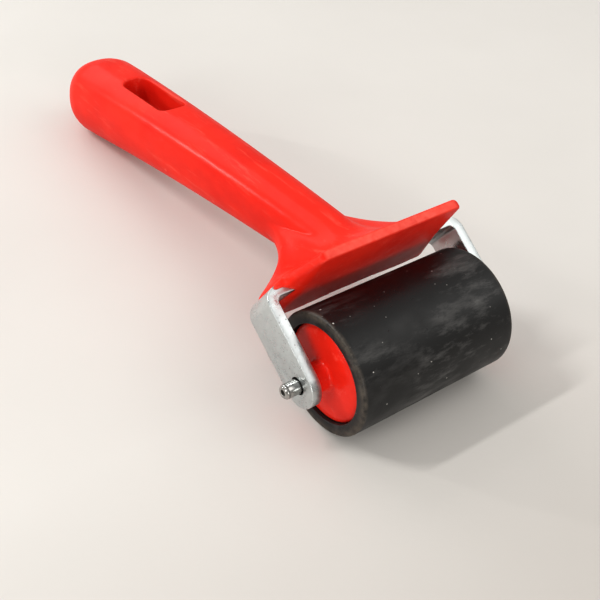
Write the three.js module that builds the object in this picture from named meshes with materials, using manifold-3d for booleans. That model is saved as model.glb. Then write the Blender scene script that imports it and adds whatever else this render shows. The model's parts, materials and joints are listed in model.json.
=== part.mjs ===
// Rubber brayer: a moulded handle whose head holds a bent steel strap, and a rubber-covered roller
// that turns in the strap's two arms on its own axle pin.
// Millimetres. +X along the roller, +Y towards the end of the handle, +Z up. The brayer lies as it is
// put down, on its roller and the underside of the handle's end, with Z = 0 at that surface.

import * as THREE from 'three';
import { ParametricGeometry } from 'three/addons/geometries/ParametricGeometry.js';
import { mergeVertices } from 'three/addons/utils/BufferGeometryUtils.js';
import Module from 'manifold-3d';

const wasm = await Module();
wasm.setup();

// ---------------------------------------------------------------- driving dimensions

const ROLLER_RADIUS = 17;
const ROLLER_LENGTH = 51;
const RUBBER_WALL = 3.3;

const PIN_RADIUS = 2;
const PIN_HOLE_CLEARANCE = 0.1;
const PIN_STANDS_OUT = 4.4;

const STRAP_WIDTH = 12.5;
const STRAP_THICKNESS = 3;
const ARMS_INSIDE = 60;
const ARM_REACH = 21.4;
const ARM_TILT = THREE.MathUtils.degToRad(33);
const BEND_RADIUS = 1.6;

const GRIP_REACH = 171;
const GRIP_END_RADIUS = 12.9;
const GRIP_NECK_RADIUS = 7.4;
const GRIP_SQUARENESS = 2.5;

const REST_PLATE_TOP = 21.5;
const HEAD_BOTTOM = 7;

const SLOT_LENGTH = 28;
const SLOT_WIDTH = 9.4;
const SLOT_CORNER = 3.6;
const SLOT_CENTRE_REACH = 122.6;

const GAP = 0.3;
const FIT = 0.1;

// Facets round each kind of curve, and a length that reaches right through any piece.
const ROUND = 48;
const PIN_ROUND = 24;
const HOLE_ROUND = 32;
const CORNER_STEPS = 8;
const ARM_END_STEPS = 12;
const THROUGH = 140;

// ---------------------------------------------------------------- places worked out from them

// The whole brayer is centred fore and aft on Y = 0.
const AXLE_Y = (ROLLER_RADIUS - GRIP_REACH) / 2;
const AXLE_Z = ROLLER_RADIUS;

const HALF_INSIDE = ARMS_INSIDE / 2;
const HALF_OUTSIDE = HALF_INSIDE + STRAP_THICKNESS;
const HALF_STRAP = STRAP_WIDTH / 2;
const HALF_ROLLER = ROLLER_LENGTH / 2;
const CROSSBAR_MIDDLE = ARM_REACH + STRAP_THICKNESS / 2;

// The arm frame has its origin on the axle, X along the roller, Y up the arms to the crossbar,
// and Z square to the arms' width, towards the top of the rest plate.
const armFrame = new THREE.Group();
armFrame.position.set(0, AXLE_Y, AXLE_Z);
armFrame.rotation.x = ARM_TILT;
armFrame.updateMatrixWorld(true);

// ---------------------------------------------------------------- solids and geometry

// Joins the shared corners of a geometry and drops the triangles that have shrunk to a line.
function closedIndex(geometry) {
  const bare = geometry.clone();
  bare.deleteAttribute('normal');
  bare.deleteAttribute('uv');
  const merged = mergeVertices(bare, 1e-4);
  const corners = merged.index.array;
  const kept = [];
  for (let i = 0; i < corners.length; i += 3) {
    const [a, b, c] = corners.slice(i, i + 3);
    if (a !== b && b !== c && c !== a) {
      kept.push(a, b, c);
    }
  }
  merged.setIndex(kept);
  return merged;
}

function toSolid(geometry) {
  const merged = closedIndex(geometry);
  return new wasm.Manifold(new wasm.Mesh({
    numProp: 3,
    vertProperties: new Float32Array(merged.attributes.position.array),
    triVerts: new Uint32Array(merged.index.array),
  }));
}

function toGeometry(solid) {
  const mesh = solid.getMesh();
  const geometry = new THREE.BufferGeometry();
  geometry.setAttribute('position', new THREE.BufferAttribute(mesh.vertProperties, 3));
  geometry.setIndex(new THREE.BufferAttribute(mesh.triVerts, 1));
  geometry.computeVertexNormals();
  return geometry;
}

// A flat outline pushed along its third axis, centred on it.
function slab(shape, depth, curveSegments = CORNER_STEPS) {
  const geometry = new THREE.ExtrudeGeometry(shape, { depth, bevelEnabled: false, curveSegments });
  return geometry.translate(0, 0, -depth / 2);
}

// A slab whose outline is drawn in the arm frame's YZ plane and which runs along X.
function slabAlongX(shape, depth, curveSegments) {
  const turn = new THREE.Matrix4().makeBasis(
    new THREE.Vector3(0, 1, 0),
    new THREE.Vector3(0, 0, 1),
    new THREE.Vector3(1, 0, 0),
  );
  return slab(shape, depth, curveSegments).applyMatrix4(turn);
}

function outline(points) {
  return new THREE.Shape(points.map(([x, y]) => new THREE.Vector2(x, y)));
}

function roundedRectangle(width, height, radius) {
  const shape = new THREE.Shape();
  const w = width / 2;
  const h = height / 2;
  shape.moveTo(w, h - radius);
  shape.absarc(w - radius, h - radius, radius, 0, Math.PI / 2);
  shape.absarc(radius - w, h - radius, radius, Math.PI / 2, Math.PI);
  shape.absarc(radius - w, radius - h, radius, Math.PI, 1.5 * Math.PI);
  shape.absarc(w - radius, radius - h, radius, 1.5 * Math.PI, 2 * Math.PI);
  shape.closePath();
  return shape;
}

// A turned piece about X. Its profile is a list of [distance along X, radius].
function turned(profile, segments) {
  const points = profile.map(([x, radius]) => new THREE.Vector2(radius, x));
  return new THREE.LatheGeometry(points, segments).rotateZ(-Math.PI / 2);
}

function mirroredEnd(profile) {
  return profile.map(([x, radius]) => [-x, radius]).reverse();
}

function piece(name, geometry, look) {
  const mesh = new THREE.Mesh(geometry, new THREE.MeshStandardMaterial(look));
  mesh.name = name;
  return mesh;
}

const RED_PLASTIC = { color: 0xf0391f, roughness: 0.28, metalness: 0 };
const ZINC_PLATE = { color: 0xb9bcb8, roughness: 0.38, metalness: 1 };
const TURNED_STEEL = { color: 0xc9c9c6, roughness: 0.2, metalness: 1 };
const BLACK_RUBBER = { color: 0x2b2b2b, roughness: 0.62, metalness: 0 };

// ---------------------------------------------------------------- frame

// The bent strap seen along its width: a U with round bends, grown by a margin on every side.
function strapOutline(margin) {
  const outer = HALF_OUTSIDE + margin;
  const inner = HALF_INSIDE - margin;
  const top = ARM_REACH + STRAP_THICKNESS + margin;
  const under = ARM_REACH - margin;
  const outerBend = BEND_RADIUS + STRAP_THICKNESS + margin;
  const innerBend = BEND_RADIUS - margin;
  const foot = -HALF_STRAP - margin;
  const shape = new THREE.Shape();
  shape.moveTo(-outer, foot);
  shape.lineTo(-inner, foot);
  shape.lineTo(-inner, under - innerBend);
  shape.absarc(innerBend - inner, under - innerBend, innerBend, Math.PI, Math.PI / 2, true);
  shape.absarc(inner - innerBend, under - innerBend, innerBend, Math.PI / 2, 0, true);
  shape.lineTo(inner, foot);
  shape.lineTo(outer, foot);
  shape.lineTo(outer, top - outerBend);
  shape.absarc(outer - outerBend, top - outerBend, outerBend, 0, Math.PI / 2);
  shape.absarc(outerBend - outer, top - outerBend, outerBend, Math.PI / 2, Math.PI);
  shape.closePath();
  return shape;
}

const ANCHOR_HOLE_RADIUS = 2.5;

// The moulding flows through this hole in the crossbar, so the strap can't slide out sideways.
function anchorPlug(radius) {
  const length = STRAP_THICKNESS + 2 * GAP + FIT;
  return toSolid(new THREE.CylinderGeometry(radius, radius, length, PIN_ROUND)
    .translate(0, CROSSBAR_MIDDLE, 0));
}

function frameGeometry() {
  const strap = toSolid(slab(strapOutline(0), STRAP_WIDTH));
  const side = new THREE.Shape();
  side.absarc(0, 0, HALF_STRAP, Math.PI / 2, 1.5 * Math.PI);
  side.lineTo(THROUGH, -HALF_STRAP);
  side.lineTo(THROUGH, HALF_STRAP);
  side.closePath();
  const roundedArms = toSolid(slabAlongX(side, THROUGH, ARM_END_STEPS));
  const holeRadius = PIN_RADIUS + PIN_HOLE_CLEARANCE;
  const pinHoles = toSolid(new THREE.CylinderGeometry(holeRadius, holeRadius, THROUGH, HOLE_ROUND)
    .rotateZ(Math.PI / 2));
  return toGeometry(strap.intersect(roundedArms).subtract(pinHoles)
    .subtract(anchorPlug(ANCHOR_HOLE_RADIUS)));
}

// ---------------------------------------------------------------- handle

const GRIP_END_LENGTH = 13.5;
const GRIP_END_LEAN = 0.25;
const GRIP_END_SPAN = Math.hypot(GRIP_END_LENGTH, GRIP_END_LEAN * GRIP_END_RADIUS);
const GRIP_END_REACH = GRIP_REACH - GRIP_END_SPAN;
const SIDE_FILLET = 17;
const WALL_BEHIND_STRAP = 2;
const HEAD_REAR = ARM_REACH + STRAP_THICKNESS + WALL_BEHIND_STRAP;
const CROSSBAR_REACH = CROSSBAR_MIDDLE * Math.cos(ARM_TILT);
const CROSSBAR_Z = AXLE_Z + CROSSBAR_MIDDLE * Math.sin(ARM_TILT);

// The grip's centre line falls from the crossbar to the end in a shallow arch. The two shares say
// how much of the fall is straight and how much is arched.
const STRAIGHT_SHARE = 0.62;
const CENTRE_LINE_RUN = GRIP_END_REACH - CROSSBAR_REACH;
const CENTRE_LINE_FALL = CROSSBAR_Z - GRIP_END_RADIUS;

function gripCentreZ(reach) {
  const along = (reach - CROSSBAR_REACH) / CENTRE_LINE_RUN;
  const fall = STRAIGHT_SHARE * along + (1 - STRAIGHT_SHARE) * along * along;
  return CROSSBAR_Z - CENTRE_LINE_FALL * fall;
}

function gripRadius(reach) {
  const along = (reach - CROSSBAR_REACH) / CENTRE_LINE_RUN;
  return THREE.MathUtils.lerp(GRIP_NECK_RADIUS, GRIP_END_RADIUS, along);
}

// How far the arm frame's Y grows for one millimetre of reach along the neck's centre line.
const NECK_FALL = CENTRE_LINE_FALL * STRAIGHT_SHARE / CENTRE_LINE_RUN;
const ARM_Y_PER_REACH = Math.cos(ARM_TILT) - NECK_FALL * Math.sin(ARM_TILT);

function reachBehindHead(distance) {
  return CROSSBAR_REACH + (HEAD_REAR - CROSSBAR_MIDDLE + distance) / ARM_Y_PER_REACH;
}

// One cross-section of the handle. The place runs from 0 at the grip's round end, through the grip
// and the neck, to 1 at the back of the head, where a fillet spreads the neck.
const END_PLACES = 0.2;
const GRIP_PLACES = 0.55;
const NECK_PLACES = 0.75;
const NECK_LENGTH = 30;
const UNDERSIDE_TAPER = 0.3;
const TOP_FILLET = 5;

function handleSection(place) {
  if (place <= END_PLACES) {
    const turn = (place / END_PLACES) * Math.PI / 2;
    const radius = GRIP_END_RADIUS * Math.sin(turn);
    const reach = GRIP_END_REACH + GRIP_END_LENGTH * Math.cos(turn);
    const z = gripCentreZ(GRIP_END_REACH);
    return { reach, z, lean: GRIP_END_LEAN, tilt: 0, wide: radius, up: radius, down: radius };
  }
  const filletReach = reachBehindHead(SIDE_FILLET);
  const neckReach = filletReach + NECK_LENGTH;
  if (place <= GRIP_PLACES) {
    const share = (place - END_PLACES) / (GRIP_PLACES - END_PLACES);
    const reach = THREE.MathUtils.lerp(GRIP_END_REACH, neckReach, share);
    const radius = gripRadius(reach);
    const lean = GRIP_END_LEAN * (1 - share);
    return { reach, z: gripCentreZ(reach), lean, tilt: 0, wide: radius, up: radius, down: radius };
  }
  const neckShare = Math.min((place - GRIP_PLACES) / (NECK_PLACES - GRIP_PLACES), 1);
  const sweep = Math.max((place - NECK_PLACES) / (1 - NECK_PLACES), 0) * Math.PI / 2;
  const reach = neckShare < 1
    ? THREE.MathUtils.lerp(neckReach, filletReach, neckShare)
    : reachBehindHead(SIDE_FILLET * (1 - Math.sin(sweep)));
  const tilt = ARM_TILT * THREE.MathUtils.smoothstep(neckShare, 0, 1);
  const radius = gripRadius(reach);
  const slant = radius / Math.cos(tilt);
  const headShare = THREE.MathUtils.smoothstep(neckReach - reach, 0, neckReach - CROSSBAR_REACH);
  return {
    reach,
    z: gripCentreZ(reach),
    lean: 0,
    tilt,
    wide: radius + SIDE_FILLET * (1 - Math.cos(sweep)),
    up: slant + TOP_FILLET * (1 - Math.cos(sweep)) ** 2,
    down: slant * (1 - UNDERSIDE_TAPER * headShare),
  };
}

function signedPower(value, power) {
  return Math.sign(value) * Math.abs(value) ** power;
}

// A point on the handle's skin. The last ring of places closes the skin inside the head.
const CLOSING_PLACE = 0.97;
const FACETS_AROUND = 36;
const FACETS_ALONG = 48;

function handlePoint(around, place, target) {
  const inside = place > CLOSING_PLACE;
  const section = handleSection(inside ? 1 : place / CLOSING_PLACE);
  const spread = inside ? 0 : 1;
  const angle = around * 2 * Math.PI;
  const power = 2 / GRIP_SQUARENESS;
  const sine = signedPower(Math.sin(angle), power);
  const across = spread * section.wide * signedPower(Math.cos(angle), power);
  const rise = spread * sine * (sine > 0 ? section.up : section.down);
  const backward = rise * (Math.sin(section.tilt) + section.lean);
  const reach = (inside ? CROSSBAR_REACH : section.reach) - backward;
  const z = (inside ? CROSSBAR_Z : section.z) + rise * Math.cos(section.tilt);
  target.set(across, AXLE_Y + reach, z);
}

// The head is a wedge along X with slanted ends. Its upper part is the rest plate, its lower part
// holds the strap's crossbar, and a thin fin runs out behind the strap to the start of each bend.
const PLATE_THICKNESS = 2.6;
const PLATE_TOP_FRONT = 22.15;
const HEAD_BOTTOM_FRONT = 19.2;
const HEAD_BOTTOM_REAR = 26.6;
const PLATE_TOP_HALF_WIDTH = 23.2;
const HEAD_BOTTOM_HALF_WIDTH = 28.7;
const FIN_TIP = 28.8;
const FIN_SHOULDER = 25.6;

function headSolid() {
  const crossbarBack = ARM_REACH + STRAP_THICKNESS;
  const wedge = toSolid(slabAlongX(outline([
    [HEAD_BOTTOM_FRONT, -HEAD_BOTTOM],
    [HEAD_BOTTOM_REAR, -HEAD_BOTTOM],
    [PLATE_TOP_FRONT + PLATE_THICKNESS, REST_PLATE_TOP],
    [PLATE_TOP_FRONT, REST_PLATE_TOP],
  ]), THROUGH));
  const ends = toSolid(slab(outline([
    [-HEAD_BOTTOM_HALF_WIDTH, -HEAD_BOTTOM],
    [HEAD_BOTTOM_HALF_WIDTH, -HEAD_BOTTOM],
    [PLATE_TOP_HALF_WIDTH, REST_PLATE_TOP],
    [-PLATE_TOP_HALF_WIDTH, REST_PLATE_TOP],
  ]), THROUGH).rotateX(Math.PI / 2));
  const plan = toSolid(slab(outline([
    [-FIN_TIP, 0],
    [FIN_TIP, 0],
    [FIN_TIP, crossbarBack],
    [FIN_SHOULDER, HEAD_BOTTOM_REAR],
    [-FIN_SHOULDER, HEAD_BOTTOM_REAR],
    [-FIN_TIP, crossbarBack],
  ]), THROUGH));
  const fins = toSolid(slab(outline([
    [-FIN_TIP, ARM_REACH],
    [FIN_TIP, ARM_REACH],
    [FIN_TIP, HEAD_BOTTOM_REAR],
    [-FIN_TIP, HEAD_BOTTOM_REAR],
  ]), STRAP_WIDTH));
  return wedge.intersect(plan).intersect(ends.add(fins));
}

// The slot that the brayer hangs by, cut square to the grip.
function hangSlot() {
  const middleZ = gripCentreZ(SLOT_CENTRE_REACH);
  const slope = (gripCentreZ(SLOT_CENTRE_REACH + 1) - gripCentreZ(SLOT_CENTRE_REACH - 1)) / 2;
  const shape = roundedRectangle(SLOT_WIDTH, SLOT_LENGTH, SLOT_CORNER);
  return toSolid(slab(shape, THROUGH)
    .rotateX(Math.atan(slope))
    .translate(0, AXLE_Y + SLOT_CENTRE_REACH, middleZ));
}

function handleGeometry() {
  const grip = toSolid(new ParametricGeometry(handlePoint, FACETS_AROUND, FACETS_ALONG));
  const pocket = toSolid(slab(strapOutline(GAP), STRAP_WIDTH + 2 * GAP));
  const plug = anchorPlug(ANCHOR_HOLE_RADIUS - GAP);
  const toRow = armFrame.matrixWorld.elements;
  const place = (solid) => solid.transform(toRow);
  return toGeometry(grip.add(place(headSolid()))
    .subtract(place(pocket))
    .add(place(plug))
    .subtract(hangSlot()));
}

// ---------------------------------------------------------------- roller

const BORE_RADIUS = ROLLER_RADIUS - RUBBER_WALL;
const RUBBER_EDGE = 0.8;
const RUBBER_EDGE_STEPS = 3;

function sleeveGeometry() {
  const rounding = (end) => Array.from({ length: RUBBER_EDGE_STEPS + 1 }, (_, step) => {
    const turn = (step / RUBBER_EDGE_STEPS) * Math.PI / 2;
    const back = RUBBER_EDGE * (1 - Math.sin(turn));
    const down = RUBBER_EDGE * (1 - Math.cos(turn));
    return [end * (HALF_ROLLER - back), ROLLER_RADIUS - down];
  });
  return turned([
    [-HALF_ROLLER, BORE_RADIUS],
    ...rounding(-1).reverse(),
    ...rounding(1),
    [HALF_ROLLER, BORE_RADIUS],
    [-HALF_ROLLER, BORE_RADIUS],
  ], ROUND);
}

const CORE_RADIUS = BORE_RADIUS - FIT;
const CORE_WALL = 2.2;
const HUB_FLANGE = 1.4;
const HUB_RECESS = 1;
const HUB_RIM_X = HALF_ROLLER - HUB_RECESS;
const CORE_HALF_LENGTH = HUB_RIM_X - HUB_FLANGE - FIT;

function coreGeometry() {
  const inner = CORE_RADIUS - CORE_WALL;
  return turned([
    [-CORE_HALF_LENGTH, inner],
    [-CORE_HALF_LENGTH, CORE_RADIUS],
    [CORE_HALF_LENGTH, CORE_RADIUS],
    [CORE_HALF_LENGTH, inner],
    [-CORE_HALF_LENGTH, inner],
  ], ROUND);
}

// An end hub, drawn for the +X end: a crowned disc over the core's end, a spigot inside the core
// and a boss round the pin that keeps the roller clear of the arm.
const HUB_CROWN = 0.8;
const HUB_CROWN_STEPS = 4;
const HUB_RIM_ROUND = 0.5;
const BOSS_RADIUS = 4;
const BOSS_FOOT = 0.8;
const BOSS_CHAMFER = 0.4;
const BOSS_END = HALF_INSIDE - GAP;
const SPIGOT_DEPTH = 6;
const SPIGOT_WALL = 1.8;
const INNER_BOSS_DEPTH = 8;

function hubGeometry(end) {
  const bore = PIN_RADIUS + FIT;
  const spigotRadius = CORE_RADIUS - CORE_WALL - FIT;
  const shoulder = HUB_RIM_X - HUB_FLANGE;
  const face = HUB_RIM_X + HUB_CROWN;
  const crown = Array.from({ length: HUB_CROWN_STEPS + 1 }, (_, step) => {
    const share = step / HUB_CROWN_STEPS;
    return [
      HUB_RIM_X + HUB_CROWN * Math.sin(share * Math.PI / 2),
      THREE.MathUtils.lerp(CORE_RADIUS - HUB_RIM_ROUND, BOSS_RADIUS + BOSS_FOOT, share),
    ];
  });
  const profile = [
    [shoulder - INNER_BOSS_DEPTH, bore],
    [shoulder - INNER_BOSS_DEPTH, BOSS_RADIUS],
    [shoulder - HUB_FLANGE, BOSS_RADIUS],
    [shoulder - HUB_FLANGE, spigotRadius - SPIGOT_WALL],
    [shoulder - SPIGOT_DEPTH, spigotRadius - SPIGOT_WALL],
    [shoulder - SPIGOT_DEPTH, spigotRadius],
    [shoulder, spigotRadius],
    [shoulder, CORE_RADIUS],
    [HUB_RIM_X - HUB_RIM_ROUND, CORE_RADIUS],
    ...crown,
    [face + BOSS_FOOT, BOSS_RADIUS],
    [BOSS_END - BOSS_CHAMFER, BOSS_RADIUS],
    [BOSS_END, BOSS_RADIUS - BOSS_CHAMFER],
    [BOSS_END, bore],
    [shoulder - INNER_BOSS_DEPTH, bore],
  ];
  return turned(end > 0 ? profile : mirroredEnd(profile), ROUND);
}

const PIN_CHAMFER = 0.7;

function axleGeometry() {
  const halfLength = HALF_OUTSIDE + PIN_STANDS_OUT;
  return turned([
    [-halfLength, 0],
    [-halfLength, PIN_RADIUS - PIN_CHAMFER],
    [-halfLength + PIN_CHAMFER, PIN_RADIUS],
    [halfLength - PIN_CHAMFER, PIN_RADIUS],
    [halfLength, PIN_RADIUS - PIN_CHAMFER],
    [halfLength, 0],
  ], PIN_ROUND);
}

// ---------------------------------------------------------------- the whole brayer

armFrame.add(piece('frame', frameGeometry(), ZINC_PLATE));

const roller = new THREE.Group();
roller.position.copy(armFrame.position);
roller.add(piece('axle', axleGeometry(), TURNED_STEEL));
roller.add(piece('core_tube', coreGeometry(), RED_PLASTIC));
roller.add(piece('left_hub', hubGeometry(-1), RED_PLASTIC));
roller.add(piece('right_hub', hubGeometry(1), RED_PLASTIC));
roller.add(piece('rubber_sleeve', sleeveGeometry(), BLACK_RUBBER));

const brayer = new THREE.Group();
brayer.add(armFrame);
brayer.add(roller);
brayer.add(piece('handle', handleGeometry(), RED_PLASTIC));

export default brayer;
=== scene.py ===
"""Rubber brayer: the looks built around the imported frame.

Lengths in this file are millimetres until a mesh is made, apart from the lights and the floor, which
are in metres. Two frames are used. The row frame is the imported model's. The arm frame has its origin
on the axle: x along the roller, a up the arms to the crossbar, n square to the arms and towards the
top of the rest plate. Reach is a distance from the axle along the row frame's Y.
"""

import json
import math

import bmesh
import bpy
import numpy as np
from mathutils import Matrix, Vector


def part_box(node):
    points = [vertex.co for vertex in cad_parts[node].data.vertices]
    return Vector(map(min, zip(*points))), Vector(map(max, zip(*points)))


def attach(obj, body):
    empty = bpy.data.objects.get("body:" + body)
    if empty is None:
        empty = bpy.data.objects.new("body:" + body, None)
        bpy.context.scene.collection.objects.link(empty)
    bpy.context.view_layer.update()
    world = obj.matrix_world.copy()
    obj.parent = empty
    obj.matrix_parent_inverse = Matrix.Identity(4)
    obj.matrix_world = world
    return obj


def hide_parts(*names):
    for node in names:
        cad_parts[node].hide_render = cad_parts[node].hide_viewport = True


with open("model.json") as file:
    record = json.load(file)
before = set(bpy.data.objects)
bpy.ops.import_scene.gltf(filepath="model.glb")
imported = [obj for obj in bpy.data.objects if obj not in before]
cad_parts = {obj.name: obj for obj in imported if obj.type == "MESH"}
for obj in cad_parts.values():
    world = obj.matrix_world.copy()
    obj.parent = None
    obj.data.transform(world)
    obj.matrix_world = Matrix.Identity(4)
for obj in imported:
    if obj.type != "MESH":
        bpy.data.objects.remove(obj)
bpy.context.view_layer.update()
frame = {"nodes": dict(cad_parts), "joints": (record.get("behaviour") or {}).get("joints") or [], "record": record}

MM = 0.001
FIXED = "handle_and_frame"
TURNING = "roller"


# ------------------------------------------------------------------ sizes read from the frame

def box_mm(node):
    """The low and the high corner of a node's box."""
    low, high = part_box(node)
    return np.array(low) / MM, np.array(high) / MM


def mount_mm(name):
    """A mount's point and its axis."""
    mount = next(m for m in frame["record"]["mounts"] if m["name"] == name)
    return np.array(mount["pos_m"]) / MM, np.array(mount["axis"])


AXLE = np.array(frame["joints"][0]["pos_m"]) / MM
_, SLEEVE_HIGH = box_mm("rubber_sleeve")
_, PIN_HIGH = box_mm("axle")
_, STRAP_HIGH = box_mm("frame")
_, HUB_HIGH = box_mm("right_hub")
_, CORE_HIGH = box_mm("core_tube")
HANDLE_LOW, HANDLE_HIGH = box_mm("handle")
PLATE_EDGE, TO_PLATE_TOP = mount_mm("rest_plate_edge")

UP_THE_ARMS = np.cross(TO_PLATE_TOP, [1.0, 0.0, 0.0])
ARM_TILT = math.atan2(UP_THE_ARMS[2], UP_THE_ARMS[1])
PLATE_TOP = float(np.dot(PLATE_EDGE - AXLE, TO_PLATE_TOP))

ROLLER_RADIUS = SLEEVE_HIGH[2] - AXLE[2]
HALF_ROLLER = SLEEVE_HIGH[0]
CORE_RADIUS = CORE_HIGH[2] - AXLE[2]
PIN_RADIUS = PIN_HIGH[2] - AXLE[2]
HALF_PIN = PIN_HIGH[0]
HALF_OUTSIDE = STRAP_HIGH[0]
BOSS_END = HUB_HIGH[0]
GRIP_REACH = HANDLE_HIGH[1] - AXLE[1]

# ------------------------------------------------------------------ sizes that the boxes don't hold

STRAP_THICKNESS = 3.0
STRAP_WIDTH = 12.5
ARM_REACH = 21.4
BEND_RADIUS = 1.6

GRIP_END_LENGTH = 13.5
GRIP_END_RADIUS = 12.9
GRIP_END_LEAN = 0.25
GRIP_NECK_RADIUS = 7.4
GRIP_SQUARENESS = 2.5
GRIP_END_SQUARENESS = 2.3
STRAIGHT_SHARE = 0.62

SLOT_LENGTH = 28.0
SLOT_WIDTH = 9.4
SLOT_CORNER = 3.6
SLOT_CENTRE_REACH = 122.6

CROSSBAR_MIDDLE = ARM_REACH + STRAP_THICKNESS / 2
HALF_STRAP = STRAP_WIDTH / 2
HALF_INSIDE = HALF_OUTSIDE - STRAP_THICKNESS


# ------------------------------------------------------------------ meshes

def link_mesh(name, points_mm, faces):
    mesh = bpy.data.meshes.new(name)
    mesh.from_pydata((np.asarray(points_mm, float) * MM).tolist(), [], faces)
    mesh.update()
    piece = bpy.data.objects.new(name, mesh)
    bpy.context.scene.collection.objects.link(piece)
    return piece


def finish_piece(piece, body, nodes, material):
    piece.data.materials.clear()
    piece.data.materials.append(material)
    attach(piece, body)
    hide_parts(*nodes)


def apply_modifiers(piece):
    depsgraph = bpy.context.evaluated_depsgraph_get()
    mesh = bpy.data.meshes.new_from_object(piece.evaluated_get(depsgraph))
    piece.modifiers.clear()
    piece.data = mesh


def smooth(piece, sharp_degrees=35):
    piece.data.shade_smooth()
    piece.data.set_sharp_from_angle(angle=math.radians(sharp_degrees))


def face_outward(piece):
    """Turns every face of a closed piece to look outwards."""
    work = bmesh.new()
    work.from_mesh(piece.data)
    bmesh.ops.recalc_face_normals(work, faces=work.faces)
    work.to_mesh(piece.data)
    work.free()


def arc(centre_u, centre_v, radius, start, end, steps):
    """Points of an outline's round stretch, from one angle to another in degrees."""
    turns = np.radians(np.linspace(start, end, steps + 1))
    return [(centre_u + radius * math.cos(t), centre_v + radius * math.sin(t)) for t in turns]


def turned(name, profile, segments):
    """A piece turned about the axle. Its closed profile lists (distance along x, radius)."""
    spread = np.linspace(0, 2 * math.pi, segments, endpoint=False)
    points = [
        (x, AXLE[1] + radius * math.sin(t), AXLE[2] + radius * math.cos(t))
        for t in spread
        for x, radius in profile
    ]
    count = len(profile)
    faces = []
    for s in range(segments):
        here, there = s * count, (s + 1) % segments * count
        for k in range(count):
            after = (k + 1) % count
            faces.append((here + k, here + after, there + after, there + k))
    piece = link_mesh(name, points, faces)
    face_outward(piece)
    return piece


# ------------------------------------------------------------------ the handle's field

# A field says how far a point is from a surface: below zero inside, above zero outside.

def joined(a, b, radius):
    """Both shapes, with a round fillet where they meet."""
    corner = np.hypot(np.maximum(radius - a, 0), np.maximum(radius - b, 0))
    return np.maximum(radius, np.minimum(a, b)) - corner


def shared(a, b, radius):
    """What two shapes share, with its edge rounded."""
    corner = np.hypot(np.maximum(radius + a, 0), np.maximum(radius + b, 0))
    return np.minimum(-radius, np.maximum(a, b)) + corner


def half_plane(u, v, start, end):
    """Below zero to the left of the line from start to end, and above zero to its right."""
    along = np.subtract(end, start) / np.linalg.norm(np.subtract(end, start))
    return (u - start[0]) * along[1] - (v - start[1]) * along[0]


# Keeps the round end just inside the CAD's box, and the grip just clear of the floor.
BOX_MARGIN = 0.1
FLOOR_MARGIN = 0.2

END_SPAN = math.hypot(GRIP_END_LENGTH, GRIP_END_LEAN * GRIP_END_RADIUS)
GRIP_END_REACH = GRIP_REACH - BOX_MARGIN - END_SPAN
CROSSBAR_REACH = CROSSBAR_MIDDLE * math.cos(ARM_TILT)
CROSSBAR_Z = AXLE[2] + CROSSBAR_MIDDLE * math.sin(ARM_TILT)
CENTRE_RUN = GRIP_END_REACH - CROSSBAR_REACH
CENTRE_FALL = CROSSBAR_Z - GRIP_END_RADIUS - FLOOR_MARGIN


def centre_z(reach):
    """The height of the grip's curved centre line."""
    along = (np.clip(reach, None, GRIP_END_REACH) - CROSSBAR_REACH) / CENTRE_RUN
    return CROSSBAR_Z - CENTRE_FALL * (STRAIGHT_SHARE * along + (1 - STRAIGHT_SHARE) * along**2)


def centre_slope(reach):
    """How fast that line climbs with reach."""
    along = (np.clip(reach, None, GRIP_END_REACH) - CROSSBAR_REACH) / CENTRE_RUN
    return -CENTRE_FALL / CENTRE_RUN * (STRAIGHT_SHARE + 2 * (1 - STRAIGHT_SHARE) * along)


# At the head the neck is only this share of its radius deep below its centre line. It reaches the
# whole radius this far from the head.
NECK_UNDERSIDE = 0.72
NECK_LENGTH = 30.0

# The cross-section starts to turn rounder this far before the grip's end.
END_BLEND = 12.0


def eased(share):
    """A share that starts and ends gently."""
    share = np.clip(share, 0, 1)
    return share**2 * (3 - 2 * share)


def grip_field(x, reach, z):
    """The grip and neck, and how far round a point is, from -1 at the underside to 1 on top."""
    # Foot is the reach at which a square line from the point meets the centre line.
    slope = centre_slope(reach)
    rise = z - centre_z(reach)
    square = np.sqrt(1 + slope**2)
    foot = reach + slope * rise / square**2
    up = (z - centre_z(foot)) / square
    grown = np.clip((foot - CROSSBAR_REACH) / CENTRE_RUN, 0, 1)
    radius = GRIP_NECK_RADIUS + (GRIP_END_RADIUS - GRIP_NECK_RADIUS) * grown
    near_head = eased((CROSSBAR_REACH + NECK_LENGTH - foot) / NECK_LENGTH)
    height = np.where(up < 0, radius * (1 - (1 - NECK_UNDERSIDE) * near_head), radius)
    near_end = eased((foot - GRIP_END_REACH + END_BLEND) / (END_BLEND + GRIP_END_LENGTH))
    power = GRIP_SQUARENESS + (GRIP_END_SQUARENESS - GRIP_SQUARENESS) * near_end

    # The cross-section is between an ellipse and a rounded rectangle.
    u = np.abs(x) / radius
    v = np.abs(up) / height
    across = np.maximum((u**power + v**power)**(1 / power), 1e-6)
    steepness = np.hypot((u / across)**(power - 1) / radius, (v / across)**(power - 1) / height)
    beyond = np.maximum(foot + GRIP_END_LEAN * up - GRIP_END_REACH, 0)
    end = np.hypot(across * radius, beyond * GRIP_END_RADIUS / GRIP_END_LENGTH) - radius
    return np.where(beyond > 0, end, (across - 1) / steepness), up / height / across


# The head in the arm frame. Fronts and rears are distances along a, bottoms along n, and widths,
# tips and shoulders along x.
PLATE_THICKNESS = 2.6
PLATE_TOP_FRONT = 22.15
HEAD_BOTTOM = -7.0
HEAD_BOTTOM_FRONT = 19.2
HEAD_BOTTOM_REAR = 26.6
PLATE_TOP_HALF_WIDTH = 23.2
PLATE_BOTTOM_HALF_WIDTH = 28.7
FIN_TIP = 28.8
FIN_SHOULDER = 25.6
FIN_FRONT = 23.0
FIN_LEAN = 0.15
FIN_BESIDE_STRAP = 0.3

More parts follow.
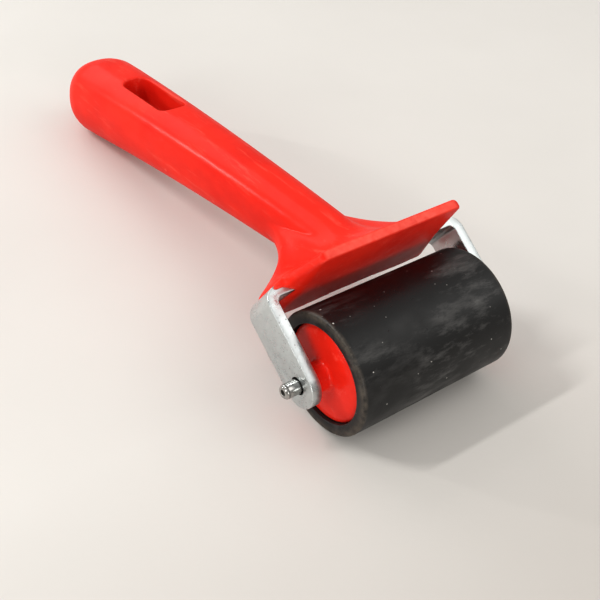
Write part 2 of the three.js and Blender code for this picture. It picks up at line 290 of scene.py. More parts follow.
TOP_FILLET = 9.0
SIDE_FILLET = 26.0
UNDERSIDE_FILLET = 4.0
CORNER_ROUND = 0.9
FRONT_SIDE_ROUND = 4.5
FRONT_SIDE_GROWTH = 0.22
FIN_ROUND = 2.5
FIN_FILLET = 2.0
EDGE_ROUND = 0.45
SLOT_EDGE_ROUND = 0.8


def slot_field(x, reach, z):
    """The hang slot, cut square to the grip."""
    slope = float(centre_slope(np.array(SLOT_CENTRE_REACH)))
    middle_z = float(centre_z(np.array(SLOT_CENTRE_REACH)))
    along = ((reach - SLOT_CENTRE_REACH) + slope * (z - middle_z)) / math.sqrt(1 + slope**2)
    over_x = np.abs(x) - (SLOT_WIDTH / 2 - SLOT_CORNER)
    over_y = np.abs(along) - (SLOT_LENGTH / 2 - SLOT_CORNER)
    outside = np.hypot(np.maximum(over_x, 0), np.maximum(over_y, 0))
    return outside + np.minimum(np.maximum(over_x, over_y), 0) - SLOT_CORNER


def handle_field(x, y, z):
    """The whole moulding: grip, neck, head, rest plate, and the fins behind the strap's bends."""
    reach = y - AXLE[1]
    up = z - AXLE[2]
    a = reach * math.cos(ARM_TILT) + up * math.sin(ARM_TILT)
    n = up * math.cos(ARM_TILT) - reach * math.sin(ARM_TILT)
    side = np.abs(x)

    neck, upward = grip_field(x, reach, z)
    front = half_plane(a, n, (PLATE_TOP_FRONT, PLATE_TOP), (HEAD_BOTTOM_FRONT, HEAD_BOTTOM))
    rear = half_plane(a, n, (HEAD_BOTTOM_REAR, HEAD_BOTTOM),
                      (PLATE_TOP_FRONT + PLATE_THICKNESS, PLATE_TOP))
    flank = half_plane(side, n, (PLATE_BOTTOM_HALF_WIDTH, HEAD_BOTTOM),
                       (PLATE_TOP_HALF_WIDTH, PLATE_TOP))
    top = n - PLATE_TOP
    fin_side = side - FIN_LEAN * n
    taper = half_plane(fin_side, a, (FIN_TIP, ARM_REACH + STRAP_THICKNESS),
                       (FIN_SHOULDER, HEAD_BOTTOM_REAR))

    behind = shared(rear, shared(top, HEAD_BOTTOM - n, EDGE_ROUND), EDGE_ROUND)
    head = shared(behind, shared(flank, taper, EDGE_ROUND), FIN_ROUND)
    # The fillet between neck and head is tight on top, wide at the sides and tight underneath.
    above, below = np.clip(upward, 0, 1), np.clip(-upward, 0, 1)
    fillet = TOP_FILLET + (SIDE_FILLET - TOP_FILLET) * (1 - above**2)**6
    fillet += (UNDERSIDE_FILLET - SIDE_FILLET) * eased((below - 0.3) / 0.7)
    back = joined(neck, head, fillet)
    front_round = np.clip(1 + FRONT_SIDE_GROWTH * (PLATE_TOP - n), 1, FRONT_SIDE_ROUND)
    plate = shared(back, shared(front, flank, front_round), EDGE_ROUND)
    plate = np.maximum(plate, shared(top, flank, CORNER_ROUND))

    fin = shared(shared(rear, taper, FIN_ROUND), FIN_FRONT - a, EDGE_ROUND)
    past_fin = np.maximum(fin_side - FIN_TIP, np.abs(n) - HALF_STRAP - FIN_BESIDE_STRAP)
    fin = shared(fin, past_fin, EDGE_ROUND)
    body = joined(plate, fin, FIN_FILLET)
    return shared(body, -slot_field(x, reach, z), SLOT_EDGE_ROUND)


# ------------------------------------------------------------------ a mesh from a field

SLOPE_STEP = 0.05
LEAST_STEEPNESS = 0.2
SURFACE_PASSES = 4


def value_and_slopes(field, points):
    """The field's value and its slope along each axis at each point."""
    value = field(*points.T)
    slopes = np.empty_like(points)
    for axis in range(3):
        step = np.zeros(3)
        step[axis] = SLOPE_STEP
        slopes[:, axis] = (field(*(points + step).T) - field(*(points - step).T)) / (2 * SLOPE_STEP)
    return value, slopes


def surface_net(field, low, high, step):
    """One vertex in each grid cell that the surface crosses, then moved onto the surface."""
    axes = [np.arange(l, h + step, step) for l, h in zip(low, high)]
    grid = np.meshgrid(*axes, indexing="ij", sparse=True)
    value = field(*grid)
    inside = value < 0
    shape = inside.shape

    cells = np.zeros([s - 1 for s in shape], bool)
    weight = np.zeros(cells.shape)
    middle = np.zeros((*cells.shape, 3))
    crossings = []
    # Each grid edge that the surface crosses lends its crossing point to the four cells round it.
    for axis in range(3):
        first = [slice(None)] * 3
        second = [slice(None)] * 3
        first[axis] = slice(0, -1)
        second[axis] = slice(1, None)
        crossed = inside[tuple(first)] != inside[tuple(second)]
        where = np.argwhere(crossed)
        from_value = value[tuple(first)][crossed]
        to_value = value[tuple(second)][crossed]
        share = from_value / (from_value - to_value)
        place = where.astype(float)
        place[:, axis] += share
        crossings.append((axis, where, from_value < 0))
        others = [k for k in range(3) if k != axis]
        for i in (0, 1):
            for j in (0, 1):
                cell = where.copy()
                cell[:, others[0]] -= i
                cell[:, others[1]] -= j
                index = tuple(cell.T)
                np.add.at(weight, index, 1)
                for k in range(3):
                    np.add.at(middle[..., k], index, place[:, k])
                cells[index] = True
    number = np.full(cells.shape, -1)
    number[cells] = np.arange(cells.sum())
    points = np.array(low) + step * middle[cells] / weight[cells][:, None]

    # Each crossed edge gives one face, between the vertices of its four cells.
    faces = []
    for axis, where, outward in crossings:
        b, c = (axis + 1) % 3, (axis + 2) % 3
        around = []
        for i, j in ((0, 0), (1, 0), (1, 1), (0, 1)):
            cell = where.copy()
            cell[:, b] -= i
            cell[:, c] -= j
            around.append(number[tuple(cell.T)])
        quads = np.stack(around, axis=1)
        quads[~outward] = quads[~outward][:, ::-1]
        faces.append(quads)
    faces = np.concatenate(faces)

    for _ in range(SURFACE_PASSES):
        distance, slopes = value_and_slopes(field, points)
        steepness = np.maximum((slopes**2).sum(axis=1), LEAST_STEEPNESS)
        move = -slopes * (distance / steepness)[:, None]
        points = points + np.clip(move, -step, step)
    return points, faces


# ------------------------------------------------------------------ the strap

def arm_to_row():
    """Matrix from the arm frame (x, a, n) in millimetres to the row frame in millimetres."""
    columns = ((1, 0, 0), tuple(UP_THE_ARMS), tuple(TO_PLATE_TOP))
    return Matrix.Translation(AXLE) @ Matrix(columns).transposed().to_4x4()


def prism(name, outline, low, high, axes=(0, 1, 2)):
    """A closed solid from an outline in two arm frame axes, pushed along the third."""
    u, v, w = axes
    points = []
    for level in (low, high):
        for p, q in outline:
            point = [0.0, 0.0, 0.0]
            point[u], point[v], point[w] = p, q, level
            points.append(arm_to_row() @ Vector(point))
    count = len(outline)
    faces = [tuple(range(count)), tuple(range(count, 2 * count))]
    faces += [(k, (k + 1) % count, count + (k + 1) % count, count + k) for k in range(count)]
    piece = link_mesh(name, points, faces)
    face_outward(piece)
    return piece


def cut(piece, operation, tool):
    """Cuts or intersects a piece with a helper solid, then removes the helper."""
    modifier = piece.modifiers.new(operation, "BOOLEAN")
    modifier.operation = operation
    modifier.object = tool
    modifier.solver = "EXACT"
    apply_modifiers(piece)
    bpy.data.objects.remove(tool)


OUTER_BEND_STEPS = 10
INNER_BEND_STEPS = 6


def strap_outline(margin):
    """The bent strap seen along its width, as a closed U, grown by a margin."""
    outer, inner = HALF_OUTSIDE + margin, HALF_INSIDE - margin
    top, under = ARM_REACH + STRAP_THICKNESS + margin, ARM_REACH - margin
    outer_bend, inner_bend = BEND_RADIUS + STRAP_THICKNESS + margin, BEND_RADIUS - margin
    foot = -HALF_STRAP - margin
    half = [(inner, foot), (outer, foot)]
    half += arc(outer - outer_bend, top - outer_bend, outer_bend, 0, 90, OUTER_BEND_STEPS)
    other = [(-x, a) for x, a in reversed(half)]
    inside = arc(inner_bend - inner, under - inner_bend, inner_bend, 180, 90, INNER_BEND_STEPS)
    inside += [(-x, a) for x, a in reversed(inside)]
    return half + other + inside


STRAP_EDGE = 0.22
PIN_HOLE_RADIUS = 2.4
ARM_END_STEPS = 32
HOLE_STEPS = 48

# A helper solid goes this far each way along the roller, past everything it cuts.
PAST_STRAP = 40


def build_strap():
    strap = prism("steel_strap", strap_outline(0), -HALF_STRAP, HALF_STRAP)
    past_crossbar = 2 * ARM_REACH
    side = arc(0, 0, HALF_STRAP, 90, 270, ARM_END_STEPS)
    side += [(past_crossbar, -HALF_STRAP), (past_crossbar, HALF_STRAP)]
    cut(strap, "INTERSECT", prism("rounded_arms", side, -PAST_STRAP, PAST_STRAP, axes=(1, 2, 0)))
    hole = arc(0, 0, PIN_HOLE_RADIUS, 0, 360, HOLE_STEPS)[:-1]
    cut(strap, "DIFFERENCE", prism("pin_hole", hole, -PAST_STRAP, PAST_STRAP, axes=(1, 2, 0)))
    bevel = strap.modifiers.new("edges", "BEVEL")
    bevel.width = STRAP_EDGE * MM
    bevel.segments = 3
    bevel.limit_method = "ANGLE"
    bevel.angle_limit = math.radians(40)
    bevel.use_clamp_overlap = False
    apply_modifiers(strap)
    smooth(strap, 50)
    return strap


# ------------------------------------------------------------------ the handle

POCKET_GAP = 0.06
GRID_STEP = 0.5
GRID_MARGIN = 1.5

# A face's corner takes the field's slope when it is this near the skin and the face lies along it.
SKIN_REACH = 0.03
SKIN_COSINE = 0.75


def true_normals(piece):
    """Takes the shading from the field wherever a face lies on the moulding's outer skin."""
    mesh = piece.data
    places = np.empty(len(mesh.vertices) * 3)
    mesh.vertices.foreach_get("co", places)
    distance, slopes = value_and_slopes(handle_field, places.reshape(-1, 3) / MM)
    slopes /= np.maximum(np.linalg.norm(slopes, axis=1), 1e-9)[:, None]
    corners = np.empty(len(mesh.loops), int)
    mesh.loops.foreach_get("vertex_index", corners)
    flat = np.empty(len(mesh.polygons) * 3)
    mesh.polygons.foreach_get("normal", flat)
    sizes = np.empty(len(mesh.polygons), int)
    mesh.polygons.foreach_get("loop_total", sizes)
    flat = np.repeat(flat.reshape(-1, 3), sizes, axis=0)
    skin = slopes[corners]
    on_skin = (np.abs(distance[corners]) < SKIN_REACH) & ((skin * flat).sum(axis=1) > SKIN_COSINE)
    mesh.shade_smooth()
    mesh.normals_split_custom_set(np.where(on_skin[:, None], skin, flat))


def build_handle():
    step = GRID_STEP
    low, high = HANDLE_LOW - GRID_MARGIN, HANDLE_HIGH + GRID_MARGIN
    points, faces = surface_net(handle_field, low, high, step)
    handle = link_mesh("moulded_handle", points, faces.tolist())
    pocket = prism("pocket", strap_outline(POCKET_GAP), -HALF_STRAP - POCKET_GAP,
                   HALF_STRAP + POCKET_GAP)
    cut(handle, "DIFFERENCE", pocket)
    true_normals(handle)
    return handle


# ------------------------------------------------------------------ the roller

def mirrored(profile):
    """The same profile at the roller's other end."""
    return [(-x, radius) for x, radius in reversed(profile)]


HUB_RECESS = 1.0
HUB_FLANGE = 1.4
HUB_CROWN = 0.8
BOSS_RADIUS = 4.0
BOSS_FILLET = 0.9
BOSS_ROUND = 0.35
RIM_ROUND = 0.9
CROWN_STEPS = 12
SPIGOT_RADIUS = 10.0
SPIGOT_LENGTH = 6.0

# Pressed and bonded pieces stay this far apart, so that no two surfaces touch.
TIGHT_GAP = 0.05
HUB_BORE = PIN_RADIUS + TIGHT_GAP


def hub_profile():
    """A crowned cap over the tube's end, with a boss outside and a spigot inside."""
    rim_x = HALF_ROLLER - HUB_RECESS
    face_x = rim_x + HUB_CROWN
    back_x = rim_x - HUB_FLANGE
    crown_start = CORE_RADIUS - RIM_ROUND
    crown_end = BOSS_RADIUS + BOSS_FILLET
    rim = arc(rim_x - RIM_ROUND, crown_start, RIM_ROUND, 90, 25, 5)
    crown = []
    for share in np.linspace(0.08, 1, CROWN_STEPS):
        radius = crown_start + (crown_end - crown_start) * share
        crown.append((rim_x + HUB_CROWN * math.sin(share * math.pi / 2), radius))
    foot = arc(face_x + BOSS_FILLET, crown_end, BOSS_FILLET, 180, 270, 5)
    tip = arc(BOSS_END - BOSS_ROUND, BOSS_RADIUS - BOSS_ROUND, BOSS_ROUND, 90, 0, 4)
    spigot_x = back_x - SPIGOT_LENGTH
    return [(spigot_x, HUB_BORE), (spigot_x, SPIGOT_RADIUS), (back_x, SPIGOT_RADIUS),
            (back_x, CORE_RADIUS)] + rim + crown + foot[1:] + tip + [(BOSS_END, HUB_BORE)]


RUBBER_EDGE = 0.8
RUBBER_LIP = 0.3
TREAD_STEPS = 20


def sleeve_profile():
    """The rubber covering, with its outer edges rounded and a small lip round each end's bore."""
    edge = arc(HALF_ROLLER - RUBBER_EDGE, ROLLER_RADIUS - RUBBER_EDGE, RUBBER_EDGE, 90, 0, 6)
    lip_centre = CORE_RADIUS + TIGHT_GAP + RUBBER_LIP
    lip = arc(HALF_ROLLER - RUBBER_LIP, lip_centre, RUBBER_LIP, 0, -90, 4)
    end = edge + lip
    places = np.linspace(-HALF_ROLLER, HALF_ROLLER, TREAD_STEPS + 1)[1:-1]
    tread = [(x, ROLLER_RADIUS) for x in places]
    return mirrored(end) + tread + end


PIN_CHAMFER = 0.6
PIN_FACE_RADIUS = 1.5
PIN_GROOVE = 0.10
CENTRE_MARK_RADIUS = 0.85
CENTRE_MARK_DEPTH = 0.9

# A turned profile has to stay clear of its own axis.
NEAR_AXIS = 0.02


def pin_profile():
    """A turned pin: a fine groove behind each chamfered end, and the centre mark it was turned on."""
    shoulder = HALF_PIN - PIN_CHAMFER
    deep = PIN_RADIUS - PIN_GROOVE
    end = [(shoulder - 0.40, PIN_RADIUS), (shoulder - 0.34, deep), (shoulder - 0.10, deep)]
    end += [(shoulder - 0.04, PIN_RADIUS - 0.02), (shoulder + 0.10, PIN_RADIUS - 0.06)]
    end += [(HALF_PIN - 0.06, PIN_FACE_RADIUS + 0.06), (HALF_PIN, PIN_FACE_RADIUS - 0.04)]
    end += [(HALF_PIN, CENTRE_MARK_RADIUS + 0.04), (HALF_PIN - 0.05, CENTRE_MARK_RADIUS)]
    end += [(HALF_PIN - CENTRE_MARK_DEPTH, NEAR_AXIS)]
    return mirrored(end) + end


# ------------------------------------------------------------------ materials

class Look:
    """A node material under construction. Every pattern is laid out in the piece's own millimetres."""

    def __init__(self, name, metallic=0.0, specular=0.5):
        self.material = bpy.data.materials.new(name)
        self.material.use_nodes = True
        self.nodes = self.material.node_tree.nodes
        self.links = self.material.node_tree.links
        self.shader = self.nodes["Principled BSDF"]
        self.shader.inputs["Metallic"].default_value = metallic
        self.shader.inputs["Specular IOR Level"].default_value = specular
        self.place = self.nodes.new("ShaderNodeTexCoord").outputs["Object"]

    def feed(self, socket, value):
        """Links a pattern to a socket, or sets the socket to a plain number or colour."""
        if isinstance(value, bpy.types.NodeSocket):
            self.links.new(value, socket)
        elif isinstance(value, tuple):
            socket.default_value = (*value, 1) if len(socket.default_value) == 4 else value
        else:
            socket.default_value = value

    def stretched(self, stretch, turn=(0, 0, 0)):
        """The piece's coordinates scaled to repeats per millimetre along each axis."""
        mapping = self.nodes.new("ShaderNodeMapping")
        self.links.new(self.place, mapping.inputs["Vector"])
        mapping.inputs["Rotation"].default_value = turn
        mapping.inputs["Scale"].default_value = tuple(k / MM for k in stretch)
        return mapping.outputs["Vector"]

    def noise(self, stretch, detail=3.0, rough=0.5, turn=(0, 0, 0)):
        node = self.nodes.new("ShaderNodeTexNoise")
        self.links.new(self.stretched(stretch, turn), node.inputs["Vector"])
        node.inputs["Scale"].default_value = 1.0
        node.inputs["Detail"].default_value = detail
        node.inputs["Roughness"].default_value = rough
        return node.outputs["Fac"]

    def dots(self, stretch, size):
        """Sparse round specks, 1 at their middles and 0 outside."""
        node = self.nodes.new("ShaderNodeTexVoronoi")
        self.links.new(self.stretched(stretch), node.inputs["Vector"])
        node.inputs["Scale"].default_value = 1.0
        return self.spread(node.outputs["Distance"], size, 0.6 * size, 0, 1)

    def spread(self, value, low, high, to_low, to_high):
        """Carries a value from one range over to another, and stops at the second range's ends."""
        node = self.nodes.new("ShaderNodeMapRange")
        self.links.new(value, node.inputs["Value"])
        ends = {"From Min": low, "From Max": high, "To Min": to_low, "To Max": to_high}
        for name, number in ends.items():
            node.inputs[name].default_value = number
        return node.outputs["Result"]

    def maths(self, operation, first, second=0.0):
        node = self.nodes.new("ShaderNodeMath")
        node.operation = operation
        self.feed(node.inputs[0], first)
        self.feed(node.inputs[1], second)
        return node.outputs["Value"]

    def blend(self, share, first, second):
        """The first colour at share 0, the second at share 1."""
        node = self.nodes.new("ShaderNodeMix")
        node.data_type = "RGBA"
        self.feed(node.inputs["Factor"], share)
        self.feed(node.inputs[6], first)
        self.feed(node.inputs[7], second)
        return node.outputs[2]

    def edges(self, low, high):
        """How much a place stands out, from 0 on flat faces to 1 on sharp edges. Used for scuffs on the red, and
        for wear and a painted highlight on the zinc.
        """
        geometry = self.nodes.new("ShaderNodeNewGeometry")
        return self.spread(geometry.outputs["Pointiness"], low, high, 0, 1)

    def along(self, axis):
        """A place's X, Y or Z, in millimetres."""
        node = self.nodes.new("ShaderNodeSeparateXYZ")
        self.links.new(self.stretched((1, 1, 1)), node.inputs["Vector"])
        return node.outputs[axis]

    def towards(self, direction):
        """How far a place is from the origin along a direction, in millimetres."""
        node = self.nodes.new("ShaderNodeVectorMath")
        node.operation = "DOT_PRODUCT"
        self.links.new(self.stretched((1, 1, 1)), node.inputs[0])
        node.inputs[1].default_value = tuple(direction)
        return node.outputs["Value"]

    def from_axle(self):
        """The distance from the axle, in millimetres."""
        rise = self.maths("SUBTRACT", self.along("Z"), float(AXLE[2]))
        reach = self.maths("SUBTRACT", self.along("Y"), float(AXLE[1]))
        rise_square = self.maths("MULTIPLY", rise, rise)
        reach_square = self.maths("MULTIPLY", reach, reach)
        return self.maths("SQRT", self.maths("ADD", rise_square, reach_square))

    def relief(self, height, depth_mm):
        """Fine bumps in the shading. A height of 1 stands for this depth."""
        node = self.nodes.new("ShaderNodeBump")
        node.inputs["Distance"].default_value = depth_mm * MM
        self.feed(node.inputs["Height"], height)
        self.links.new(node.outputs["Normal"], self.shader.inputs["Normal"])
        self.links.new(node.outputs["Normal"], self.shader.inputs["Coat Normal"])

    def gloss(self, weight, roughness):
        """A thin clear shine over the colour, which keeps it deep where it is seen nearly edge on."""
        self.shader.inputs["Coat Weight"].default_value = weight
        self.shader.inputs["Coat Roughness"].default_value = roughness

    def done(self, colour, roughness):
        self.feed(self.shader.inputs["Base Color"], colour)
        self.feed(self.shader.inputs["Roughness"], roughness)
        return self.material


# Linear colours. Stretches give a pattern's repeats per millimetre along X, Y and Z.
RED = (0.81, 0.024, 0.009)
DEEP_RED = (0.68, 0.014, 0.005)
# Paler red for scratches and scuffed edges, and for the painted sheen on the rest plate's top band.
SCUFF_AND_SHEEN_RED = (0.86, 0.14, 0.10)
LENGTHWAYS = (0.35, 0.03, 0.35)
EVEN = (0.3, 0.3, 0.3)
# Height of the rest plate's top, where the red gets its painted sheen.
PLATE_EDGE_HEIGHT = float(np.dot(AXLE, TO_PLATE_TOP)) + PLATE_TOP


def red_plastic(name, shine, shine_roughness, scratch_stretch):
    """Moulded red plastic: cloudy colour, a faint ripple, fine scratches, scuffed edges, and a painted sheen on
    the rest plate's top band.
    """
    look = Look(name, specular=0.08)
    look.gloss(shine, shine_roughness)
    clouds = look.spread(look.noise((0.07, 0.04, 0.07), 5.0, 0.6), 0.35, 0.65, 0, 1)
    scratches = look.spread(look.noise(scratch_stretch, 5.0, 0.75), 0.56, 0.70, 0, 1)
    height = look.towards(TO_PLATE_TOP)
    # Painted sheen: the rest plate's top band is painted the paler red, in place of the shine it catches.
    wear_and_sheen = look.spread(height, PLATE_EDGE_HEIGHT - 0.30, PLATE_EDGE_HEIGHT - 0.05, 0, 1.2)
    # Scuffed edges, plus the painted sheen on the top band, patched by noise.
    worn_edges_and_sheen = look.maths("MAXIMUM", look.edges(0.52, 0.60), wear_and_sheen)
    worn_edges_and_sheen = look.maths("MULTIPLY", worn_edges_and_sheen, look.noise((0.6, 0.6, 0.6)))
    colour = look.blend(clouds, RED, DEEP_RED)
    colour = look.blend(look.maths("MULTIPLY", scratches, 0.40), colour, SCUFF_AND_SHEEN_RED)
    colour = look.blend(look.maths("MULTIPLY", worn_edges_and_sheen, 0.9), colour, SCUFF_AND_SHEEN_RED)
    grain = look.spread(look.noise((0.12, 0.12, 0.12), 4.0), 0.3, 0.7, 0.60, 0.75)
    roughness = look.maths("ADD", grain, look.maths("MULTIPLY", scratches, 0.12))
    ripple = look.noise((0.16, 0.10, 0.16), 2.0)
    look.relief(look.maths("SUBTRACT", ripple, look.maths("MULTIPLY", scratches, 0.04)), 0.16)
    return look.done(colour, roughness)


ZINC = (0.44, 0.475, 0.485)
PALE_ZINC = (0.54, 0.575, 0.58)
DULL_ZINC = (0.24, 0.24, 0.235)
# Edges: brighter for wear, and as a painted highlight line along the strap's edges.
RUBBED_AND_HIGHLIGHT_ZINC = (0.88, 0.90, 0.89)


def zinc_plate():
    """Bright zinc plate: mottled, with dull specks, and edges painted brighter as wear and a painted highlight
    line.
    """
    look = Look("zinc_plate", metallic=1.0)
    mottle = look.spread(look.noise((0.45, 0.45, 0.45), 6.0, 0.65), 0.35, 0.65, 0, 1)
    speckled = look.spread(look.noise((0.12, 0.12, 0.12)), 0.52, 0.62, 0, 1)
    specks = look.maths("MULTIPLY", look.dots((0.9, 0.9, 0.9), 0.22), speckled)
    # Painted highlight: sharp edges are painted bright, partly for wear, partly as the strap edges' shine.
    wear_and_sheen = look.edges(0.51, 0.56)
    colour = look.blend(mottle, ZINC, PALE_ZINC)
    colour = look.blend(look.maths("MULTIPLY", specks, 0.7), colour, DULL_ZINC)
    colour = look.blend(look.maths("MULTIPLY", wear_and_sheen, 0.6), colour, RUBBED_AND_HIGHLIGHT_ZINC)
    roughness = look.spread(mottle, 0, 1, 0.24, 0.40)
    roughness = look.maths("ADD", roughness, look.maths("MULTIPLY", specks, 0.3))
    fine = look.noise((1.6, 1.6, 1.6), 5.0)
    look.relief(look.maths("ADD", look.maths("MULTIPLY", fine, 0.4), mottle), 0.02)
    return look.done(colour, roughness)


STEEL = (0.44, 0.435, 0.42)
# Dark colour for the stains, and for the painted shade in the groove and the centre mark.
GRIME_AND_SHADE = (0.03, 0.028, 0.025)
GROOVE_MIDDLE = HALF_PIN - PIN_CHAMFER - 0.22


def turned_steel():
    """Bright steel with turning marks round the axle, random dark stains, and painted shade in the grooves and
    centre marks.
    """
    look = Look("turned_steel", metallic=1.0)
    marks = look.noise((3.5, 0.05, 0.05), 3.0, 0.6)
    stains = look.spread(look.noise((0.5, 0.5, 0.5), 4.0), 0.52, 0.70, 0, 0.6)
    radius = look.from_axle()
    # Painted shade: the centre mark's hollow and the groove behind the chamfer are painted dark.
    centre_mark_shade = look.spread(radius, CENTRE_MARK_RADIUS - 0.05, CENTRE_MARK_RADIUS + 0.05, 1, 0)
    from_groove = look.maths("SUBTRACT", look.maths("ABSOLUTE", look.along("X")), GROOVE_MIDDLE)
    groove = look.spread(look.maths("ABSOLUTE", from_groove), 0.12, 0.20, 0.7, 0)
    grime_and_shade = look.maths("MAXIMUM", stains, look.maths("MAXIMUM", centre_mark_shade, groove))
    colour = look.blend(grime_and_shade, STEEL, GRIME_AND_SHADE)
    roughness = look.spread(marks, 0.3, 0.7, 0.06, 0.16)
    roughness = look.maths("ADD", roughness, look.maths("MULTIPLY", grime_and_shade, 0.4))
    look.relief(marks, 0.015)
    return look.done(colour, roughness)


BLACK = (0.003, 0.003, 0.003)
WORN_BLACK = (0.008, 0.008, 0.008)
CHALK = (0.20, 0.195, 0.19)
RIM_BROWN = (0.13, 0.105, 0.08)
DUST = (0.55, 0.53, 0.50)


def black_rubber():
    """Ground rubber: chalky smears, dust, small pits and a brown scuffed band round each rim."""
    look = Look("black_rubber", specular=0.4)
    strokes = look.noise((0.05, 0.14, 0.14), 8.0, 0.7, turn=(0, 0, 0.5))
    smeared = look.spread(look.noise((0.035, 0.035, 0.035)), 0.42, 0.62, 0, 1)
    smears = look.maths("MULTIPLY", look.spread(strokes, 0.50, 0.72, 0, 1), smeared)
    dusty = look.spread(look.noise((0.5, 0.5, 0.5)), 0.46, 0.54, 0, 1)
    dust = look.maths("MULTIPLY", look.dots((0.30, 0.30, 0.30), 0.085), dusty)
    pits = look.dots((0.42, 0.42, 0.42), 0.10)

    from_middle = look.maths("ABSOLUTE", look.along("X"))
    near_rim = look.spread(look.from_axle(), ROLLER_RADIUS - 2.4, ROLLER_RADIUS - 1.0, 0, 1)
    near_end = look.spread(from_middle, HALF_ROLLER - 1.2, HALF_ROLLER - 0.3, 0, 1)
    scuffed = look.spread(look.noise((0.5, 0.5, 0.5), 5.0, 0.7), 0.35, 0.65, 0.1, 1)
    rim = look.maths("MULTIPLY", look.maths("MULTIPLY", near_rim, near_end), scuffed)

    colour = look.blend(look.noise((0.08, 0.08, 0.08), 4.0), BLACK, WORN_BLACK)
    colour = look.blend(look.maths("MULTIPLY", smears, 0.65), colour, CHALK)
    colour = look.blend(look.maths("MULTIPLY", rim, 0.6), colour, RIM_BROWN)
    colour = look.blend(dust, colour, DUST)
    roughness = look.spread(look.noise((0.15, 0.15, 0.15), 5.0), 0.3, 0.7, 0.38, 0.52)
    dulled = look.maths("MULTIPLY", look.maths("MAXIMUM", smears, rim), 0.15)
    roughness = look.maths("ADD", roughness, dulled)
    grain = look.noise((2.2, 2.2, 2.2), 3.0)
    grain_height = look.maths("MULTIPLY", grain, 0.3)
    pit_depth = look.maths("MULTIPLY", pits, 2.0)
    look.relief(look.maths("SUBTRACT", grain_height, pit_depth), 0.05)
    return look.done(colour, roughness)


BOARD = (0.665, 0.645, 0.618)
CLOUDED_BOARD = (0.640, 0.620, 0.593)
# Painted shade, for the dimmer light on the board towards the front.
SHADED_FRONT_BOARD = (0.40, 0.365, 0.335)


def pale_board():
    """The surface it lies on: a warm off-white board, slightly cloudy, with painted shade darkening it towards the
    front.
    """
    look = Look("pale_board", specular=0.15)
    clouds = look.spread(look.noise((0.012, 0.012, 0.012), 4.0), 0.3, 0.7, 0, 1)
    # Painted shade: the board darkens towards the front, where less light falls.
    front = look.spread(look.along("Y"), -60, -260, 0, 1)
    colour = look.blend(front, look.blend(clouds, BOARD, CLOUDED_BOARD), SHADED_FRONT_BOARD)
    look.relief(look.noise((0.5, 0.5, 0.5), 4.0), 0.03)
    return look.done(colour, look.spread(clouds, 0, 1, 0.55, 0.65))


handle_red = red_plastic("handle_plastic", 0.24, 0.24, LENGTHWAYS)
hub_red = red_plastic("hub_plastic", 0.38, 0.16, EVEN)
core_red = red_plastic("core_plastic", 0.15, 0.45, LENGTHWAYS)
zinc = zinc_plate()
steel = turned_steel()
rubber = black_rubber()

# ------------------------------------------------------------------ the pieces

PIN_SEGMENTS = 64
HUB_SEGMENTS = 128
SLEEVE_SEGMENTS = 192

handle = build_handle()
finish_piece(handle, FIXED, ["handle"], handle_red)
strap = build_strap()
finish_piece(strap, FIXED, ["frame"], zinc)

pin = turned("axle_pin", pin_profile(), PIN_SEGMENTS)
smooth(pin)
finish_piece(pin, TURNING, ["axle"], steel)
for node, profile in (("left_hub", mirrored(hub_profile())), ("right_hub", hub_profile())):
    hub = turned(node + "_cap", profile, HUB_SEGMENTS)
    smooth(hub)
    finish_piece(hub, TURNING, [node], hub_red)
sleeve = turned("rubber_covering", sleeve_profile(), SLEEVE_SEGMENTS)
smooth(sleeve)
finish_piece(sleeve, TURNING, ["rubber_sleeve"], rubber)
core = frame["nodes"]["core_tube"]
core.data.materials.clear()
core.data.materials.append(core_red)

# ------------------------------------------------------------------ floor, light and camera

FLOOR_SIZE = 12.0

bpy.ops.mesh.primitive_plane_add(size=FLOOR_SIZE, location=(0, 0, 0))
floor = bpy.context.object
floor.name = "floor"
floor.data.materials.append(pale_board())


def area_light(name, place, size, power, colour):
    """A light panel that faces the axle, with its first side level and in line with the roller."""
    data = bpy.data.lights.new(name, "AREA")
    data.shape = "RECTANGLE"
    data.size, data.size_y = size
    data.energy = power
    data.color = colour
    light = bpy.data.objects.new(name, data)
    bpy.context.scene.collection.objects.link(light)
    facing = (Vector(place) - Vector(AXLE) * MM).normalized()
    side = Vector((1, 0, 0)) - facing.x * facing
    side.normalize()
    facing_axle = Matrix((side, facing.cross(side), facing)).transposed()
    light.matrix_world = Matrix.LocRotScale(Vector(place), facing_axle, None)


NEUTRAL = (1.0, 0.995, 0.98)
COOL = (0.985, 0.995, 1.0)
WARM = (1.0, 0.985, 0.96)
WARMER = (1.0, 0.98, 0.95)

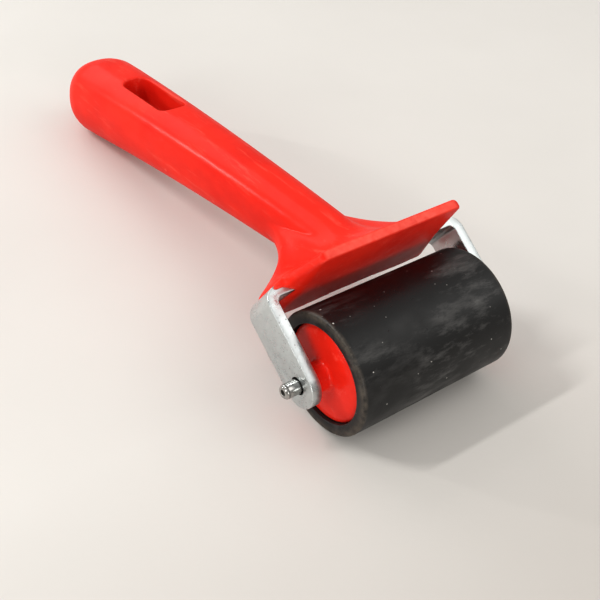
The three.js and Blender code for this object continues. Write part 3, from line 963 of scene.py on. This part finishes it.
# Places and sizes are metres, powers are watts. The key throws the roller's crisp shadow. The others
# fill it and put soft shine on the red.
area_light("key", (-0.84, 0.57, 1.20), (0.40, 0.06), 8.5, NEUTRAL)
area_light("soft_box", (-0.10, 0.90, 0.62), (0.78, 0.78), 3.7, COOL)
area_light("front_box", (0.62, -0.55, 0.85), (0.8, 0.8), 2.9, WARM)
area_light("left_box", (-0.90, -0.20, 0.50), (0.3, 0.3), 1.8, WARM)
area_light("low_front", (-0.35, -0.85, 0.20), (0.5, 0.2), 2.5, WARM)
area_light("far_window", (-1.10, 1.30, 0.50), (0.05, 0.10), 5.0, WARMER)


def studio_world():
    """A pale room: brightest overhead, dimmer towards the floor."""
    world = bpy.data.worlds.new("studio")
    world.use_nodes = True
    nodes, links = world.node_tree.nodes, world.node_tree.links
    height = nodes.new("ShaderNodeSeparateXYZ")
    links.new(nodes.new("ShaderNodeTexCoord").outputs["Generated"], height.inputs["Vector"])
    ramp = nodes.new("ShaderNodeValToRGB")
    links.new(height.outputs["Z"], ramp.inputs["Fac"])
    low, high = ramp.color_ramp.elements
    low.position, low.color = 0.0, (0.60, 0.58, 0.55, 1)
    high.position, high.color = 0.7, (*WARM, 1)
    links.new(ramp.outputs["Color"], nodes["Background"].inputs["Color"])
    nodes["Background"].inputs["Strength"].default_value = 0.70
    return world


bpy.context.scene.world = studio_world()
bpy.context.scene.view_settings.view_transform = "Standard"
bpy.context.scene.view_settings.gamma = 0.88

# Angles are degrees. Azimuth 0 looks along +Y, and below zero the camera stands to the left.
CAMERA_FROM_AXLE = (-149.0, -132.3, 173.4)
CAMERA_AZIMUTH = -40.76
CAMERA_ELEVATION = 39.66
CAMERA_ROLL = 5.93
LENS = 60

azimuth, elevation, roll = map(math.radians, (CAMERA_AZIMUTH, CAMERA_ELEVATION, CAMERA_ROLL))
back = Vector((math.sin(azimuth) * math.cos(elevation), -math.cos(azimuth) * math.cos(elevation),
               math.sin(elevation)))
level = Vector((math.cos(azimuth), math.sin(azimuth), 0))
above = back.cross(level)
right = math.cos(roll) * level + math.sin(roll) * above
up = math.cos(roll) * above - math.sin(roll) * level
camera_data = bpy.data.cameras.new("camera")
camera_data.lens = LENS
camera_data.sensor_width = 36
camera_data.clip_start = 0.01
camera_data.clip_end = 20
camera = bpy.data.objects.new("camera", camera_data)
bpy.context.scene.collection.objects.link(camera)
turn = Matrix((right, up, back)).transposed()
place = (Vector(AXLE) + Vector(CAMERA_FROM_AXLE)) * MM
camera.matrix_world = Matrix.LocRotScale(place, turn, None)
bpy.context.scene.camera = camera
